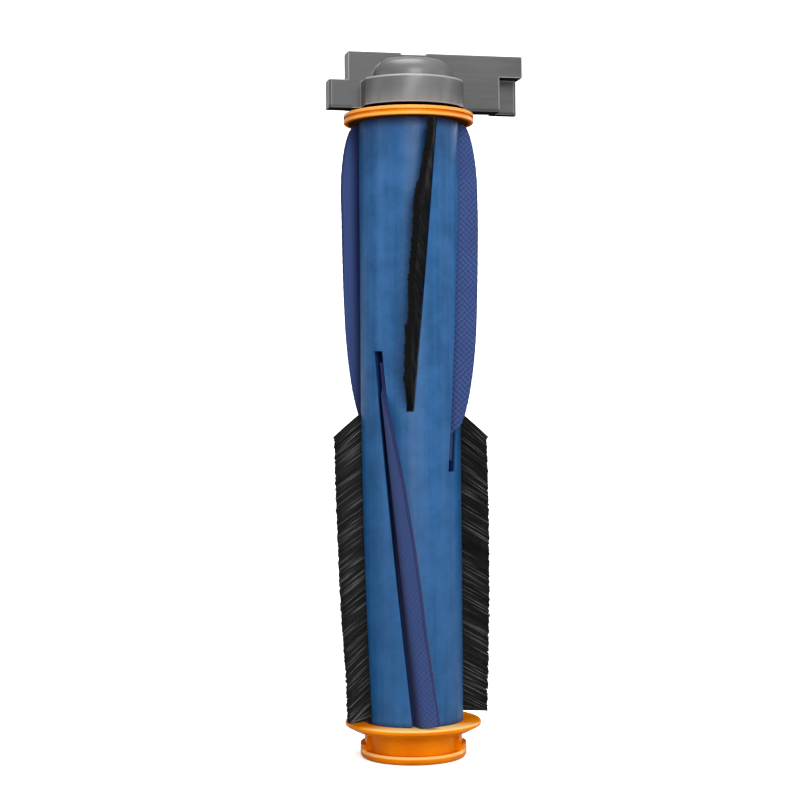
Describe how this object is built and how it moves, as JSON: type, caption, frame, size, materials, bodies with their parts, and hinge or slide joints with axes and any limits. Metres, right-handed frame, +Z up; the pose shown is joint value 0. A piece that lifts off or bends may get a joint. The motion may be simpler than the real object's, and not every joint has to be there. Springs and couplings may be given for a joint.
{
  "type": "robot vacuum roller brush",
  "caption": "Slim roller brush for a robot vacuum, with twisted bristle strips and fabric blades in a V layout, a drive end cap and a bearing end block.",
  "frame": {"origin": "centre of the drive end's bottom face, on the roller's axis, at the mouth of the drive bore", "axes": "+Z up along the roller's axis to the end block; the end block's front looks along -Y and its handle points along +X"},
  "size_m": [0.05, 0.0394, 0.177],
  "materials": {
    "drum_blue": "moulded, satin",
    "cap_orange": "moulded, satin",
    "block_grey": "moulded, fine grain",
    "bristle_black": "nylon bristles",
    "backing_black": "moulded",
    "blade_fabric": "close diagonal weave",
    "core_white": "extruded rod",
    "bush_brass": "turned",
    "screw_steel": "zinc plated",
    "pin_steel": "ground",
    "clip_steel": "stamped",
    "bearing_steel": "ground and polished",
    "felt_grey": "pressed felt"
  },
  "bodies": {
    "roller": {"drum": "drum_blue", "drive_end_cap": "cap_orange", "idle_end_cap": "cap_orange", "drive_bush": "bush_brass", "drive_cap_screws": "screw_steel", "idle_cap_screws": "screw_steel", "axle_pin": "pin_steel", "shim_washer": "bush_brass", "retaining_clip": "clip_steel", "bearing_inner_ring": "bearing_steel", "bristles_lower_left": "bristle_black", "bristle_backing_lower_left": "backing_black", "bristles_lower_right": "bristle_black", "bristle_backing_lower_right": "backing_black", "bristles_upper_front": "bristle_black", "bristle_backing_upper_front": "backing_black", "bristles_upper_rear": "bristle_black", "bristle_backing_upper_rear": "backing_black", "fabric_blade_lower_front": "blade_fabric", "blade_core_lower_front": "core_white", "fabric_blade_lower_rear": "blade_fabric", "blade_core_lower_rear": "core_white", "fabric_blade_upper_right": "blade_fabric", "blade_core_upper_right": "core_white", "fabric_blade_upper_left": "blade_fabric", "blade_core_upper_left": "core_white"},
    "end_block": {"end_block": "block_grey", "bearing_outer_ring": "bearing_steel", "bearing_lower_shield": "clip_steel", "bearing_upper_shield": "clip_steel", "felt_seal": "felt_grey"},
    "ball_cage": {"bearing_cage": "bush_brass", "bearing_balls": "bearing_steel"}
  },
  "joints": [
    {"name": "block_spin", "type": "hinge", "parent": "roller", "child": "end_block", "pos_m": [0, 0, 0.1674], "axis": [0, 0, 1], "continuous": true},
    {"name": "cage_spin", "type": "hinge", "parent": "roller", "child": "ball_cage", "pos_m": [0, 0, 0.1674], "axis": [0, 0, 1], "continuous": true}
  ],
  "couplings": [
    {"joint": "cage_spin", "follows": "block_spin", "ratio": 0.64}
  ]
}
